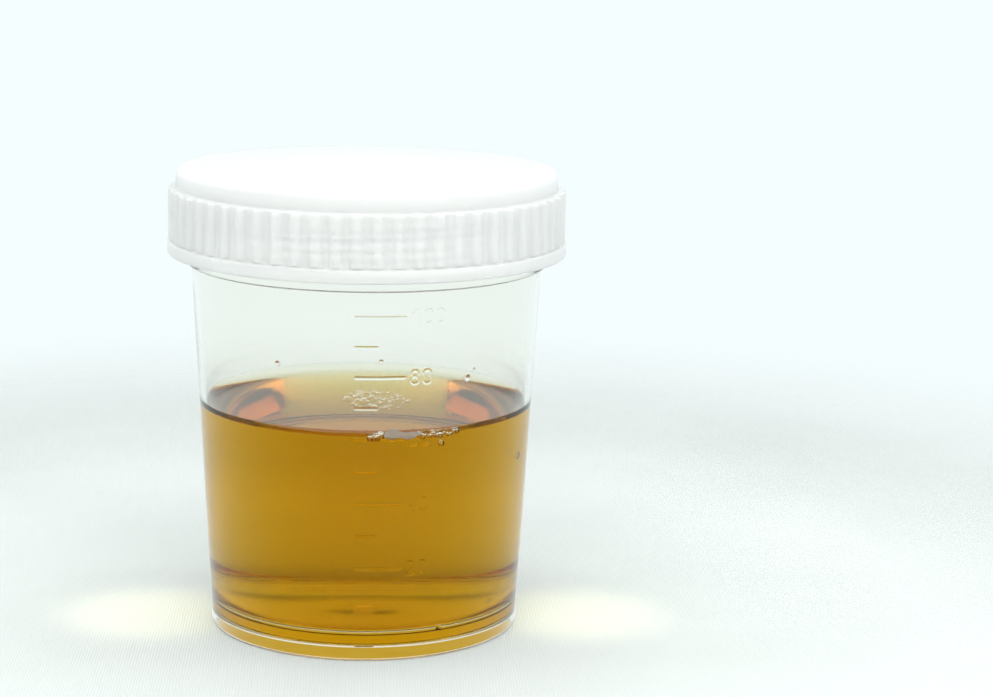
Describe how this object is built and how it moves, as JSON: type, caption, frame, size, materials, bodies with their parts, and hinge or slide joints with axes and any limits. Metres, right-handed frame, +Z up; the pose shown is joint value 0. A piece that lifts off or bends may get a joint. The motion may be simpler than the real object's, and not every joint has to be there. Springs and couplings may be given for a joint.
{
  "type": "screw-lid specimen pot",
  "caption": "Small clear wide-mouth specimen pot with a raised scale and a ribbed screw lid, a little over half full of urine.",
  "frame": {"origin": "centre of the ring that the pot stands on, in the plane of the table", "axes": "+Z up along the pot's axis, -Y towards the viewer through the raised scale, +X to the viewer's right"},
  "size_m": [0.063, 0.063, 0.0732],
  "materials": {
    "clear_polypropylene": "glossy clear moulded polypropylene",
    "milky_polyethylene": "satin translucent moulded polyethylene",
    "seal_polyethylene": "soft matt polyethylene foam",
    "urine": "clear amber liquid",
    "foam": "thin liquid film"
  },
  "bodies": {
    "jar": {"specimen_jar": "clear_polypropylene", "urine_sample": "urine", "foam_bubbles": "foam"},
    "seal": {"lid_seal": "seal_polyethylene"},
    "lid": {"screw_lid": "milky_polyethylene"}
  },
  "joints": [
    {"name": "lid_rise", "type": "slide", "parent": "jar", "child": "seal", "axis": [0, 0, 1], "range_m": [0, 0.0181]},
    {"name": "lid_turn", "type": "hinge", "parent": "seal", "child": "lid", "pos_m": [0, 0, 0.0715], "axis": [0, 0, 1], "range_deg": [0, 1440]}
  ],
  "couplings": [
    {"joint": "lid_rise", "follows": "lid_turn", "m_per_rad": 0.0007162}
  ]
}
